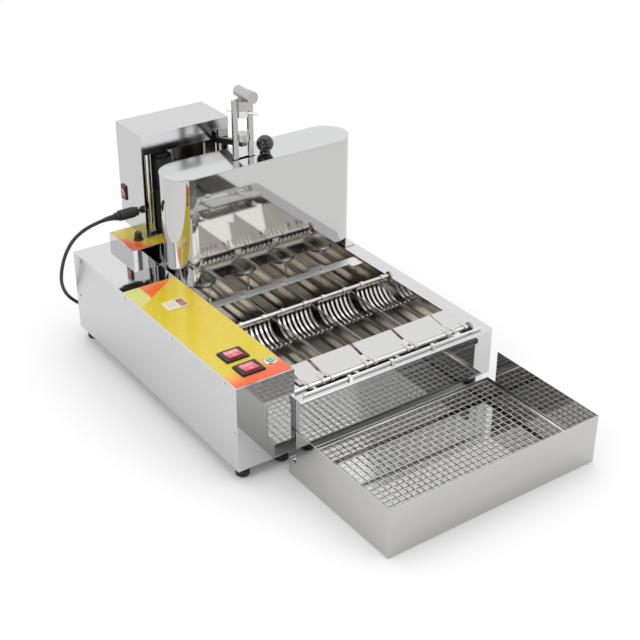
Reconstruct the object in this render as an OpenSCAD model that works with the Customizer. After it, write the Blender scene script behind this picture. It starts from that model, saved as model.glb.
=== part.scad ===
// Four-lane table-top donut maker: a hopper with lifting plungers drops dough rings into an oil tank,
// a comb turns them over, and a row of plates tips them out onto a mesh over a drip tray.
// The drip tray is at the front (-Y), the control box on the left (-X).

/* [Sheet metal] */
// Thickness of the steel panels
sheet = 1.5; // [1:0.1:2]
// Bend radius along the top edges of the control box
bend_r = 3; // [2:0.5:6]
// Air gap between pieces that move past each other
gap = 0.3; // [0.2:0.05:0.5]
// Radial play of a shaft in its bearing
shaft_play = 0.05; // [0.02:0.01:0.08]

/* [Control box] */
// Width of the control box
box_w = 130; // [120:1:150]
// Length of the control box
box_len = 682; // [660:1:720]
// Height of the control box above its feet
box_h = 188; // [176:1:210]
// Height of the rubber feet
foot_h = 25; // [18:1:35]
// Diameter of a rubber foot
foot_d = 28; // [20:1:34]
// Distance of the feet from the front and back edges
foot_inset = 22; // [18:1:40]
// Thickness of the printed overlays
overlay_t = 0.6; // [0.4:0.1:1]
// Length of the printed control panel
panel_len = 448; // [420:1:470]
// Bare margin around the printed control panel
panel_margin = 3; // [2:0.5:5]

/* [Switches] */
// Width of a panel switch frame
switch_w = 52; // [46:1:54]
// Length of a panel switch frame
switch_l = 42; // [38:1:46]
// Height of a panel switch frame above the panel
switch_rise = 4; // [3:0.5:6]
// Width of the rocker in a panel switch
rocker_w = 31; // [26:1:33]
// Length of the rocker in a panel switch
rocker_l = 29; // [24:1:31]
// Distance of the panel switches from the left edge of the box
switch_x = 59; // [50:1:64]
// Distance of the power switch from the front edge of the box
power_y = 48; // [40:1:52]
// Distance of the heat switch from the front edge of the box
heat_y = 105; // [96:1:120]
// Distance of the start button from the left edge of the box
button_x = 107; // [102:1:110]
// Diameter of the start button's metal ring
button_ring_d = 26; // [24:1:28]
// Diameter of the start button's cap
button_cap_d = 18; // [15:1:19]
// Width of the temperature controller
controller_w = 48; // [44:1:54]
// Length of the temperature controller
controller_l = 36; // [32:1:42]
// Width of the controller's display window
display_w = 15; // [12:1:18]
// Distance of the controller from the left edge of the box
controller_x = 66; // [60:1:72]
// Distance of the controller from the front edge of the box
controller_y = 342; // [320:1:360]

/* [Tank] */
// Width of the tank jacket
tank_w = 491; // [470:1:520]
// How far the tank stands in front of the control box
tank_lead = 15; // [10:1:25]
// Height of the tank jacket above the feet
jacket_h = 113; // [105:1:120]
// How far the tank's underside lies above the control box's
tank_lift = 12.5; // [8:0.5:16]
// Thickness of the rolled rim
rim_t = 6; // [5:0.5:8]
// Overhang of the rim past the jacket
rim_over = 4; // [4:0.5:8]
// Corner radius of the rim, seen from above
rim_corner = 14; // [10:1:20]
// Width of the flat rim beside the oil vat
rim_flat = 35; // [32:1:40]
// Height of the rim's folded front edge
apron_h = 20; // [14:1:24]
// Distance from the rim's top down to the vat floor
vat_depth = 94; // [88:1:100]
// Distance from the vat's back end to the back of the tank
vat_back = 126; // [122:1:134]
// Distance from the rim's top down to the front shelf
shelf_drop = 14; // [13:0.5:18]
// Length of the front shelf
shelf_len = 75; // [60:1:88]
// Length of the ramp behind the shelf
ramp_len = 110; // [90:1:112]
// Number of frying lanes
lanes = 4; // [3:1:5]
// Thickness of a lane divider
divider_t = 1.2; // [1:0.1:2]
// Distance from the rim's top down to the dividers' top
divider_drop = 6; // [6:0.5:9]
// Diameter of a heater tube
heater_d = 8; // [6:0.5:9]
// Distance between the two legs of a heater hairpin
heater_leg = 40; // [30:1:50]

/* [Turning comb and discharge] */
// Diameter of the comb and discharge shafts
shaft_d = 8; // [7:0.5:9]
// Distance of the comb shaft from the vat's front
comb_y = 290; // [286:1:296]
// Height of the comb shaft above the rim
comb_rise = 6; // [5:0.5:9]
// Radius of the curved comb fingers
finger_r = 46; // [42:1:47]
// Sweep of a comb finger in degrees
finger_sweep = 150; // [130:1:155]
// Width of a comb finger
finger_w = 5; // [3:0.5:6]
// Thickness of a comb finger
finger_t = 1.5; // [1:0.1:2]
// Distance between comb fingers
finger_pitch = 11.5; // [10.5:0.1:12]
// Number of comb fingers in a lane
fingers = 8; // [6:1:8]
// Distance of the discharge shaft from the vat's front
discharge_y = 16; // [12:1:20]
// Height of the discharge shaft above the rim
discharge_rise = 4.5; // [4.3:0.1:6]
// Length of a discharge plate
plate_l = 62; // [52:1:64]
// Slope of a discharge plate in degrees
plate_slope = 9; // [6:0.5:12]
// Width of the slot between two discharge plates
plate_slot = 7; // [5:0.5:10]

/* [Rear deck] */
// Rise of the deck above the control box
deck_rise = 26; // [20:1:36]
// Distance from the box's left edge to the deck
deck_x = 88; // [80:1:96]
// Distance from the vat's back end to the deck
deck_gap = 6; // [5:0.5:8]
// Distance from the deck's back edge to the back of the box
deck_margin = 6; // [4:1:10]
// Diameter of the speed knob's skirt
knob_d = 22; // [18:1:24]
// Height of the speed knob
knob_h = 17; // [14:1:22]

/* [Lift head] */
// Distance from the box's left edge to the head housing
head_x = 144; // [142:1:150]
// Distance from the lift lever to the head housing's right side
head_right = 34; // [32:1:44]
// Distance from the deck's front edge to the head housing
head_inset = 41; // [39:1:45]
// Depth of the head housing
head_l = 113; // [110:1:125]
// Height of the head housing
head_h = 239; // [236:1:250]
// Height of the top cover's front lip
lip_h = 22; // [16:1:24]
// Height of the front plate under the lip
brow_h = 22.5; // [18:0.5:23]
// Diameter of the two chrome columns
column_d = 20; // [16:1:20]
// Width of the lift lever
lever_w = 12; // [8:1:12]
// Height of the lift lever's bar
lever_h = 12; // [9:0.5:12]
// Diameter of the lift lever's pivot pin
pivot_d = 10; // [8:0.5:12]
// Diameter of the crank disc
crank_d = 46; // [36:1:56]
// Throw of the crank pin
crank_throw = 5; // [3:0.5:8]

/* [Hopper] */
// Width of the hopper
hopper_w = 470; // [440:1:474]
// Depth of the hopper
hopper_l = 104; // [96:1:108]
// Height of the hopper
hopper_h = 247; // [240:1:250]
// Clearance between the tank's rim and the hopper's floor
hopper_rise = 35; // [34:1:40]
// Gap between the hopper and the deck
hopper_gap = 13; // [11:1:16]
// How far the hopper's middle lies left of the tank's middle
hopper_offset = 7; // [0:1:8]
// Thickness of the lid
lid_t = 1.5; // [1:0.1:2]
// Diameter of the lid's ball knob
ball_d = 38; // [30:1:40]
// Bore of a dough nozzle
nozzle_d = 48; // [42:1:52]
// Wall of a dough nozzle
nozzle_wall = 4; // [3:0.5:5]
// Length of a dough nozzle
nozzle_l = 24; // [20:1:26]
// Diameter of a plunger rod
rod_d = 14; // [10:1:16]

/* [Yoke] */
// Distance between the middles of the two yoke posts
post_pitch = 38; // [36:1:42]
// Width of a yoke post
post_w = 12; // [10:1:13]
// Thickness of a yoke post
post_t = 6; // [5:0.5:8]
// Distance from the lid to the lower cross block
block_rise = 41; // [40:0.5:44]
// Height of the lower cross block
lower_h = 15; // [12:1:18]
// Height of the upper cross block
block_h = 20; // [16:1:22]
// Clear height between the lower cross block and the nut
window_h = 37; // [30:1:42]
// Height of the adjusting nut
nut_h = 16; // [14:1:18]
// Length of the cross pin
pin_l = 70; // [60:1:90]
// Diameter of the cross pin
pin_d = 6; // [5:0.5:7]
// Diameter of the roller on top of the yoke
roller_d = 24; // [20:1:25]

/* [Drip tray] */
// Width of the drip tray
tray_w = 511; // [480:1:530]
// Length of the drip tray
tray_l = 313; // [280:1:330]
// Height of the drip tray
tray_h = 109; // [95:1:109]
// Length of the tray's low back part
tray_low_l = 25; // [15:1:40]
// Height of the tray's low back part
tray_low_h = 34; // [28:1:36]
// Gap between the drip tray and the tank
tray_gap = 10; // [6:1:40]
// How far the tray's middle lies left of the tank's middle
tray_shift = 22; // [0:1:30]
// Diameter of a mesh wire
wire_d = 2; // [1.6:0.1:2.4]
// Distance between mesh wires
wire_pitch = 15; // [12:0.5:20]

/* [Cable] */
// Diameter of the head's supply cable
cable_d = 10; // [8:0.5:10]
// Diameter of the inline connector
connector_d = 24; // [18:1:26]

/* [Hidden] */
$fn = 48;

// ---- small fixed sizes ----
fn_small = 24;
eps = 0.01;
seam = 1;
flange_h = 12;
nut_neck = 2;
saddle_h = 4;
rod_t = 5;
rocker_tilt = 6;
screw_h = 1.6;
lever_tip_gap = 0.6;
lever_fall = 0.25;
lever_angle = atan(lever_fall);
lever_eye = lever_h + 2;

// ---- heights, measured from the table ----
box_top = foot_h + box_h;
rim_top = foot_h + jacket_h + rim_t;
rim_under = foot_h + jacket_h;
tank_under = foot_h + tank_lift;
vat_floor = rim_top - vat_depth;
shelf_z = rim_top - shelf_drop;
divider_top = rim_top - divider_drop;
comb_z = rim_top + comb_rise;
discharge_z = rim_top + discharge_rise;
deck_top = box_top + deck_rise;
head_top = deck_top + head_h;
hopper_floor = rim_top + hopper_rise;
hopper_top = hopper_floor + hopper_h;
lid_z = hopper_top + gap;
block_z = lid_z + lid_t + block_rise;
nut_z = block_z + lower_h + window_h;
upper_z = nut_z + nut_h + nut_neck;
roller_z = upper_z + block_h + saddle_h + roller_d / 2;

// ---- places along the machine ----
vat_len = box_len - vat_back;
deck_y = vat_len + deck_gap;
deck_l = box_len - deck_margin - deck_y;
head_y = deck_y + head_inset;
hopper_y = deck_y - hopper_gap - hopper_l / 2;

// ---- places across the machine ----
tank_x = box_w + seam;
tank_mid = tank_x + tank_w / 2;
tank_back = box_len;
vat_x0 = tank_x + rim_flat;
vat_x1 = tank_x + tank_w - rim_flat;
lane_pitch = (vat_x1 - vat_x0) / lanes;
yoke_x = tank_mid - 48.5;
yoke_y = hopper_y - 12;
head_w = yoke_x + head_right - head_x;
hopper_x = tank_mid - hopper_offset;
ball_x = tank_mid + 7;
pivot_y = head_y + 91;
tip_y = yoke_y;
tip_z = block_z - lever_tip_gap - lever_eye / 2;
pivot_z = tip_z - (pivot_y - tip_y) * lever_fall;

// ---- route of the head's supply cable, from the connector down to the rear gland ----
gland_z = foot_h + 32;
gland_d = 16;
gland_x = [25, 95];
connector_y = head_y + 10;
connector_z = deck_top + 66;
connector_l = 54;
connector_tail = 14;
cable_start = [head_x - connector_tail - connector_l, connector_y, connector_z];
cable_end = [gland_x[0], box_len + 8, gland_z];
upper_bends = [
  [0, 0, 0], [-10, 0, 0], [-20, 0, 0], [-42, 7, -7], [-60, 19, -19], [-74, 31, -34], [-85, 44, -53],
  [-94, 58, -79], [-100, 71, -109], [-102, 83, -139]
];
lower_bends = [
  [-49, 18, 79], [-41, 30, 51], [-29, 39, 27], [-15, 41, 9], [-5, 34, 1], [0, 22, 0], [0, 10, 0], [0, 0, 0]
];
cable_route = [for (bend = upper_bends) cable_start + bend, for (bend = lower_bends) cable_end + bend];
cable_sides = 10;

// ---- overall box, for the origin ----
model_left = -screw_h;
model_right = tank_x + tank_w + rim_over;
model_front = -tank_lead - tray_gap - tray_l;
model_back = head_y + head_l;

function lane_x(i) = vat_x0 + (i + 0.5) * lane_pitch;
function divider_x(i) = vat_x0 + i * lane_pitch;

// Everything is drawn from the control box's front left corner on the table, then centred.
module placed() {
  translate([-(model_left + model_right) / 2, -(model_front + model_back) / 2, 0]) children();
}

// A block from one corner to the opposite one.
module span(a, b) {
  translate(a) cube(b - a);
}

// A rectangle with round corners, from its lower left corner.
module round_rect(w, l, r) {
  translate([r, 0]) square([w - 2 * r, l]);
  translate([0, r]) square([w, l - 2 * r]);
  for (x = [r, w - r], y = [r, l - r]) translate([x, y]) circle(r = r);
}

// A long slot with half-round ends, centred.
module stadium(w, l) {
  square([w - l, l], center = true);
  for (s = [-1, 1]) translate([s * (w - l) / 2, 0]) circle(d = l, $fn = 96);
}

// Catmull-Rom point between b and c, and the whole route with one extra ring between its points.
function between(a, b, c, d) = (-a + 9 * b + 9 * c - d) / 16;
function smooth_route(p) = [
  for (i = [0:len(p) - 1]) each i == len(p) - 1 ? [p[i]] :
    [p[i], between(p[max(i - 1, 0)], p[i], p[i + 1], p[min(i + 2, len(p) - 1)])]
];
function unit(v) = v / norm(v);
function heading(p, i) = unit(p[min(i + 1, len(p) - 1)] - p[max(i - 1, 0)]);
function ring(c, t, r, n) = let (u = unit(cross(t, [0, 1, 0.2])), v = cross(t, u))
  [for (k = [0:n - 1]) c + r * (cos(360 * k / n) * u + sin(360 * k / n) * v)];

// A closed tube along a route, with one ring of corners at each point.
module swept_tube(p, r, n) {
  m = len(p);
  points = [for (i = [0:m - 1]) each ring(p[i], heading(p, i), r, n)];
  sides = [for (i = [0:m - 2], k = [0:n - 1]) let (a = i * n + k, b = i * n + (k + 1) % n) [a, b, b + n, a + n]];
  polyhedron(points, concat(sides, [[for (k = [n - 1:-1:0]) k]], [[for (k = [0:n - 1]) (m - 1) * n + k]]));
}

module rod_x(d, l, n = $fn) {
  rotate([0, 90, 0]) cylinder(d = d, h = l, $fn = n);
}

module rod_y(d, l, n = $fn) {
  rotate([-90, 0, 0]) cylinder(d = d, h = l, $fn = n);
}

// A profile drawn in Y and Z, extruded along X.
module along_x(l) {
  rotate([90, 0, 90]) linear_extrude(l) children();
}

// A profile drawn in X and Z, extruded along Y.
module along_y(l) {
  translate([0, l, 0]) rotate([90, 0, 0]) linear_extrude(l) children();
}

// ---- control box ----
module box_profile(w, h, r) {
  square([w, h - r]);
  translate([r, 0]) square([w - 2 * r, h]);
  for (x = [r, w - r]) translate([x, h - r]) circle(r = r);
}

module panel_cut(x, y, w, l) {
  translate([x - w / 2, y - l / 2, box_top - sheet - 1]) cube([w, l, sheet + 2]);
}

module control_box_shell() {
  shell_h = box_h - sheet;
  color("silver") placed() difference() {
    translate([0, 0, foot_h + sheet]) along_y(box_len) box_profile(box_w, shell_h, bend_r);
    translate([sheet, sheet, foot_h + sheet - 1])
      along_y(box_len - 2 * sheet) box_profile(box_w - 2 * sheet, shell_h - sheet + 1, bend_r - sheet / 2);
    panel_cut(switch_x, power_y, switch_w - 8, switch_l - 6);
    panel_cut(switch_x, heat_y, switch_w - 8, switch_l - 6);
    panel_cut(controller_x, controller_y, controller_w - 4, controller_l - 4);
    translate([button_x, power_y, box_top - sheet - 1]) cylinder(d = button_body_d, h = sheet + 2);
    for (s = shafts) translate([box_w - sheet - 1, s[0], s[1]]) rod_x(bush_d, sheet + 2);
    for (g = gland_x)
      translate([g, box_len - sheet - 1, gland_z]) rod_y(gland_d, sheet + 2);
  }
}

module control_box_base() {
  lip = sheet + gap;
  color("silver") placed() {
    span([0, 0, foot_h], [box_w, box_len, foot_h + sheet]);
    difference() {
      span([lip, lip, foot_h + sheet], [box_w - lip, box_len - lip, foot_h + sheet + flange_h]);
      span([lip + sheet, lip + sheet, foot_h], [box_w - lip - sheet, box_len - lip - sheet, box_top]);
    }
  }
}

module control_panel() {
  m = panel_margin;
  color("gold") placed() difference() {
    span([m, m, box_top], [box_w - m, m + panel_len, box_top + overlay_t]);
    for (y = [power_y, heat_y])
      translate([switch_x, y, box_top]) cube([switch_w - 8, switch_l - 6, 9], center = true);
    translate([controller_x, controller_y, box_top]) cube([controller_w - 4, controller_l - 4, 9], center = true);
    translate([button_x, power_y, box_top - 1]) cylinder(d = button_body_d, h = 9);
  }
}

module controller_case() {
  window_x = controller_x + controller_w / 2 - display_w - 2;
  deep = 60;
  color("ivory") placed() difference() {
    union() {
      translate([controller_x - controller_w / 2, controller_y - controller_l / 2, box_top + overlay_t])
        linear_extrude(2.4) round_rect(controller_w, controller_l, 2);
      translate([controller_x - controller_w / 2 + 3, controller_y - controller_l / 2 + 3, box_top - deep])
        cube([controller_w - 6, controller_l - 6, deep + overlay_t]);
    }
    span([window_x, controller_y - controller_l / 2 + 3, box_top - 3],
         [window_x + display_w, controller_y + controller_l / 2 - 3, box_top + 9]);
  }
}

module controller_display() {
  window_x = controller_x + controller_w / 2 - display_w - 2;
  color("dimgray") placed()
    span([window_x, controller_y - controller_l / 2 + 3, box_top - 3],
         [window_x + display_w, controller_y + controller_l / 2 - 3, box_top + 2.2]);
}

// The frame of a rocker switch lying on the panel, with its body below.
module switch_frame(w, l, rise, rw, rl, deep) {
  difference() {
    union() {
      translate([-w / 2, -l / 2, 0]) linear_extrude(rise * 0.5) round_rect(w, l, 2.5);
      translate([-w / 2 + 1.5, -l / 2 + 1.5, 0]) linear_extrude(rise) round_rect(w - 3, l - 3, 2);
      translate([-w / 2 + 4.5, -l / 2 + 3.5, -deep]) cube([w - 9, l - 7, deep + eps]);
    }
    translate([0, 0, rise / 2 - 1]) cube([rw + 2 * gap, rl + 2 * gap, rise + 10], center = true);
  }
}

// A rocker with a shallow vee on top, tipped onto its rear half about its pivot.
module rocker(w, l, rise) {
  half = l / 2 - 0.5;
  rotate([-rocker_tilt, 0, 0]) translate([-w / 2, 0, 0]) along_x(w)
    polygon([[-half, -3], [half, -3], [half, rise + 1.5], [0, rise + 0.5], [-half, rise + 1.5]]);
}

module panel_switch_frames() {
  color("#222222") placed() for (y = [power_y, heat_y]) translate([switch_x, y, box_top + overlay_t])
    switch_frame(switch_w, switch_l, switch_rise, rocker_w, rocker_l, 28);
}

module panel_rocker(y) {
  color("crimson") placed() translate([switch_x, y, box_top + overlay_t]) rocker(rocker_w, rocker_l, switch_rise);
}

module power_rocker() panel_rocker(power_y);
module heat_rocker() panel_rocker(heat_y);

button_body_d = button_ring_d - 4;
button_travel = 2.5;
module start_button_ring() {
  color("lightgray") placed() translate([button_x, power_y, box_top + overlay_t]) difference() {
    union() {
      rotate_extrude() polygon([
        [0, 0], [button_ring_d / 2, 0], [button_ring_d / 2, 1.5], [button_ring_d / 2 - 1.5, 3], [0, 3]
      ]);
      translate([0, 0, -30]) cylinder(d = button_body_d - 0.2, h = 30 + eps);
    }
    translate([0, 0, -8]) cylinder(d = button_cap_d + 2 * gap, h = 20);
  }
}

module start_button_cap() {
  r = button_cap_d / 2;
  color("seagreen") placed() translate([button_x, power_y, box_top + overlay_t]) rotate_extrude()
    polygon([[0, -5], [r, -5], [r, 3], [r - 1, 4], [0, 4]]);
}

// ---- drives and wiring inside the control box ----
shafts = [[comb_y, comb_z], [discharge_y, discharge_z]];
bush_d = shaft_d + 6;
motor_d = 44;
shaft_x0 = box_w - 26;
shaft_x1 = vat_x1 - 2;

// A geared motor: the motor sits behind and beside the output boss, on a foot that stands on the base.
module drive_motor(y, z, side) {
  reach = side * 24;
  color("dimgray") placed() translate([shaft_x0 - gap, y, z]) {
    translate([-8, 0, 0]) rod_x(14, 8);
    translate([-24, 0, 0]) rod_x(24, 16);
    translate([-24, min(reach, 0), -12]) cube([16, abs(reach), 24]);
    translate([-24, reach, 0]) rod_x(motor_d, 16);
    translate([-72, reach, 0]) rod_x(motor_d - 6, 48);
    translate([-70, reach - 12, foot_h + sheet - z]) cube([40, 24, z - foot_h - sheet - 16]);
  }
}

module drive_motors() {
  drive_motor(comb_y, comb_z, -1);
  drive_motor(discharge_y, discharge_z, 1);
}

module terminal_block() {
  length = 96;
  color("white") placed() translate([box_w / 2 - 14, controller_y + 90, foot_h + sheet]) difference() {
    cube([28, length, 22]);
    for (i = [0:7]) translate([-1, 6 + i * 11, 14]) cube([9, 7, 9]);
    for (i = [0:7]) translate([20, 6 + i * 11, 14]) cube([9, 7, 9]);
  }
}

cable_play = 0.1;
module gland(x) {
  color("#222222") placed() translate([x, 0, gland_z]) difference() {
    union() {
      translate([0, box_len - 10, 0]) rod_y(gland_d, 14);
      translate([0, box_len - sheet - 5, 0]) rod_y(gland_d + 8, 5, 6);
      translate([0, box_len, 0]) rod_y(gland_d + 8, 6, 6);
      translate([0, box_len + 6, 0]) rod_y(gland_d + 2, 12);
    }
    translate([0, box_len - 11, 0]) rod_y(cable_d + 2 * cable_play, 40);
  }
}

module cable_glands() {
  for (x = gland_x) gland(x);
}

module foot(x, y, h) {
  translate([x, y, 0]) rotate_extrude() polygon([
    [0, 0], [foot_d / 2 - 2, 0], [foot_d / 2, 2], [foot_d / 2, h * 0.5],
    [foot_d / 2 - 4, h * 0.6], [foot_d / 2 - 4, h], [0, h]
  ]);
}

module feet() {
  color("#202020") placed() for (y = [foot_inset, box_len - foot_inset]) {
    foot(foot_inset, y, foot_h);
    foot(box_w - foot_inset + 4, y, foot_h);
    foot(tank_x + tank_w - foot_inset, y, tank_under);
  }
}

// ---- tank ----
module tank_jacket() {
  color("silver") placed() difference() {
    span([tank_x, -tank_lead, tank_under], [tank_x + tank_w, tank_back, rim_under]);
    span([tank_x + sheet, -tank_lead + sheet, tank_under + sheet],
         [tank_x + tank_w - sheet, tank_back - sheet, rim_under + 1]);
  }
}

// A flat plate with a half-round edge all the way round.
module bullnose_plate(w, l, t, r) {
  c = r - t / 2;
  translate([t / 2, t / 2, 0]) linear_extrude(t) round_rect(w - t, l - t, c);
  for (y = [t / 2, l - t / 2]) translate([r, y, t / 2]) rod_x(t, w - 2 * r);
  for (x = [t / 2, w - t / 2]) translate([x, r, t / 2]) rod_y(t, l - 2 * r);
  for (x = [r, w - r], y = [r, l - r]) translate([x, y, t / 2]) rotate_extrude() translate([c, 0]) circle(d = t, $fn = 32);
}

module tank_rim() {
  behind = 60;
  front = tank_lead + rim_over;
  color("gainsboro") placed() difference() {
    translate([tank_x - 40, -front, 0]) {
      translate([0, 0, rim_under])
        bullnose_plate(tank_w + rim_over + 40, tank_back + front + behind, rim_t, rim_corner);
      translate([0, 0, rim_top - apron_h]) linear_extrude(apron_h - rim_t / 2) intersection() {
        round_rect(tank_w + rim_over + 40, tank_back + front + behind, rim_corner);
        square([tank_w + rim_over + 40, rim_over]);
      }
    }
    span([tank_x - 41, -front - 9, 0], [tank_x, tank_back + behind + 9, rim_top + 1]);
    span([tank_x - 9, tank_back, rim_under - 1], [tank_x + tank_w + 30, tank_back + behind + 9, rim_top + 1]);
    span([vat_x0, 0, rim_under - 1], [vat_x1, vat_len, rim_top + 1]);
  }
}

ramp_y = shelf_len + ramp_len;
function ramp_z(y) = shelf_z - (y - shelf_len) * (shelf_z - vat_floor) / ramp_len;

module oil_vat() {
  s = sheet;
  color("darkgray") placed() difference() {
    union() {
      translate([vat_x0 - s, 0, 0]) along_x(vat_x1 - vat_x0 + 2 * s) polygon([
        [-s, rim_under], [-s, shelf_z - s], [shelf_len - s / 2, shelf_z - s], [ramp_y - s / 2, vat_floor - s],
        [vat_len + s, vat_floor - s], [vat_len + s, rim_under]
      ]);
      span([vat_x0 - flange_h, -s - 6, rim_under - s], [vat_x1 + flange_h, vat_len + flange_h, rim_under]);
    }
    translate([vat_x0, 0, 0]) along_x(vat_x1 - vat_x0) polygon([
      [0, rim_top], [0, shelf_z], [shelf_len, shelf_z], [ramp_y, vat_floor], [vat_len, vat_floor],
      [vat_len, rim_top]
    ]);
  }
}

divider_front = shelf_len + 25;
module lane_dividers() {
  color("silver") placed() for (i = [1:lanes - 1])
    translate([divider_x(i) - divider_t / 2, 0, 0]) along_x(divider_t) polygon([
      [divider_front, divider_top], [divider_front, ramp_z(divider_front)], [ramp_y, vat_floor],
      [vat_len - 4, vat_floor], [vat_len - 4, divider_top]
    ]);
}

clamp_y = comb_y + 2 * finger_r + 18;
clamp_l = 24;
module divider_clamp() {
  color("gainsboro") placed() translate([0, 0, divider_top]) {
    span([vat_x0 + 2, clamp_y, 0], [vat_x1 - 2, clamp_y + clamp_l, 2]);
    for (i = [1:lanes - 1]) span([divider_x(i) - 20, clamp_y + clamp_l - eps, 0], [divider_x(i) + 20, clamp_y + clamp_l + 10, 2]);
    span([vat_x0 + 2, clamp_y - 12, 0], [vat_x0 + 34, clamp_y + eps, 2]);
    span([vat_x1 - 34, clamp_y - 12, 0], [vat_x1 - 2, clamp_y + eps, 2]);
  }
}

heater_z = vat_floor + 14;
module heating_element() {
  front = ramp_y + 12 + heater_leg / 2;
  color("dimgray") placed() for (i = [0:lanes - 1]) translate([lane_x(i), 0, heater_z]) {
    for (s = [-1, 1]) translate([s * heater_leg / 2, front, 0]) rod_y(heater_d, vat_len - front, fn_small);
    translate([0, front, 0]) rotate([0, 0, 180])
      rotate_extrude(angle = 180) translate([heater_leg / 2, 0]) circle(d = heater_d, $fn = fn_small);
  }
}

module oil_probe() {
  color("goldenrod") placed() translate([lane_x(lanes - 1), vat_len - 160, heater_z + 16]) rod_y(6, 160, fn_small);
}

// ---- turning comb ----
module bearing_plate(y, z) {
  t = 5;
  foot = rim_under - z;
  translate([vat_x1 - t, y, z]) difference() {
    union() {
      rod_x(bush_d + 4, t);
      translate([0, -bush_d / 2 - 2, foot]) cube([t, bush_d + 4, -foot]);
    }
    translate([-1, 0, 0]) rod_x(shaft_d + 2 * shaft_play, t + 2);
  }
}

module wall_bush(y, z) {
  translate([box_w - 6, y, z]) difference() {
    union() {
      rod_x(bush_d, 6 + seam);
      rod_x(bush_d + 8, 6 - sheet);
    }
    translate([-1, 0, 0]) rod_x(shaft_d + 2 * shaft_play, 20);
  }
}

module shaft_bearings() {
  color("darkkhaki") placed() for (s = shafts) {
    bearing_plate(s[0], s[1]);
    wall_bush(s[0], s[1]);
  }
}

module drive_shaft(y, z) {
  color("silver") placed() translate([shaft_x0, y, z]) rod_x(shaft_d, shaft_x1 - shaft_x0);
}

module comb_shaft() drive_shaft(comb_y, comb_z);
module discharge_shaft() drive_shaft(discharge_y, discharge_z);

hub_play = 0.02;
module hub(x, w) {
  translate([x - w / 2, 0, 0]) difference() {
    rod_x(shaft_d + 4, w, 32);
    translate([-1, 0, 0]) rod_x(shaft_d + 2 * hub_play, w + 2);
  }
}

// One lane's comb: two hubs on the shaft, a spine under it and a row of curved fingers.
module lane_comb() {
  span_w = (fingers - 1) * finger_pitch + finger_w;
  spine_top = -shaft_d / 2 - hub_play;
  for (s = [-1, 1]) hub(s * (span_w / 2 - 14), 8);
  translate([-span_w / 2, -3, spine_top - 4]) cube([span_w, 6, 4]);
  for (k = [0:fingers - 1]) translate([-span_w / 2 + k * finger_pitch, -finger_r, 0])
    rotate([90, 0, 90]) rotate([0, 0, -finger_sweep])
      rotate_extrude(angle = finger_sweep - 8, $fn = 72) translate([finger_r - finger_t / 2, 0]) square([finger_t, finger_w]);
}

module turning_combs() {
  color("silver") placed() for (i = [0:lanes - 1]) translate([lane_x(i), comb_y, comb_z]) lane_comb();
}

// ---- discharge plates ----
module discharge_plate(w) {
  arm = shaft_d / 2 + 2;
  for (s = [-1, 1]) hub(s * (w / 2 - 7), 8);
  rotate([plate_slope, 0, 0]) translate([-w / 2, 0, 0]) {
    translate([0, arm, -0.75]) cube([w, plate_l, 1.5]);
    for (x = [4.5, w - 9.5]) translate([x, shaft_d / 2 + 1, -2]) cube([5, 14, 4]);
    translate([0, arm + plate_l - 1.5, -5]) cube([w, 1.5, 5]);
  }
}

module discharge_plates() {
  full = lane_pitch - plate_slot;
  half = (full - plate_slot) / 2;
  color("gainsboro") placed() translate([0, discharge_y, discharge_z]) {
    for (i = [1:lanes - 1]) translate([divider_x(i), 0, 0]) discharge_plate(full);
    translate([vat_x0 + 3 + half / 2, 0, 0]) discharge_plate(half);
    translate([vat_x1 - 8 - half / 2, 0, 0]) discharge_plate(half);
  }
}

// A round rail along the front of the rim, held by a clip at each divider.
rail_d = 5;
rail_y = -3;
module guide_rail() {
  rail_z = rim_top + rail_d / 2 + 1.5;
  clip_w = 8;
  color("silver") placed() translate([0, rail_y, rail_z]) {
    translate([vat_x0 - 18, 0, 0]) rod_x(rail_d, vat_x1 - vat_x0 + 30, fn_small);
    for (i = [1:lanes - 1]) translate([divider_x(i) - 2 * clip_w, 0, 0]) difference() {
      translate([0, -5, rim_top - rail_z]) cube([clip_w, 10, rail_z - rim_top + rail_d / 2 + 1]);
      translate([-1, 0, 0]) rod_x(rail_d + 2 * hub_play, clip_w + 2, fn_small);
    }
  }
}

// ---- rear deck ----
module deck_profile(t) {
  x1 = tank_x + tank_w;
  polygon([
    [deck_x + t, box_top], [deck_x + t, deck_top - t], [x1 - t, deck_top - t], [x1 - t, rim_top],
    [tank_x + t, rim_top], [tank_x + t, box_top]
  ]);
}

knob_x = head_x - 19;
knob_y = head_y + 4;
module deck() {
  color("silver") placed() difference() {
    translate([0, deck_y, 0]) along_y(deck_l) deck_profile(0);
    translate([0, deck_y + sheet, 0]) along_y(deck_l - 2 * sheet) union() {
      deck_profile(sheet);
      translate([tank_x + sheet, rim_top - 1]) square([tank_w - 2 * sheet, 2]);
      translate([deck_x + sheet, box_top - 1]) square([tank_x - deck_x, 2]);
    }
    translate([knob_x, knob_y, deck_top - 9]) cylinder(d = 10, h = 20);
  }
}

module deck_panel() {
  color("orange") placed() difference() {
    union() {
      span([deck_x + 2, deck_y + 2, deck_top], [head_x - 1, deck_y + deck_l - 2, deck_top + overlay_t]);
      span([head_x - 1 - eps, deck_y + 2, deck_top], [head_x + head_w + 60, head_y - 2, deck_top + overlay_t]);
    }
    translate([knob_x, knob_y, deck_top - 1]) cylinder(d = 10, h = 9);
  }
}

spindle_d = 6;
module speed_potentiometer() {
  color("darkgray") placed() translate([knob_x, knob_y, 0]) {
    translate([0, 0, deck_top - sheet - 11]) cylinder(d = 20, h = 11);
    translate([0, 0, deck_top - sheet - eps]) cylinder(d = 9, h = sheet + overlay_t);
    translate([0, 0, deck_top]) cylinder(d = spindle_d, h = 11);
  }
}

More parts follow.
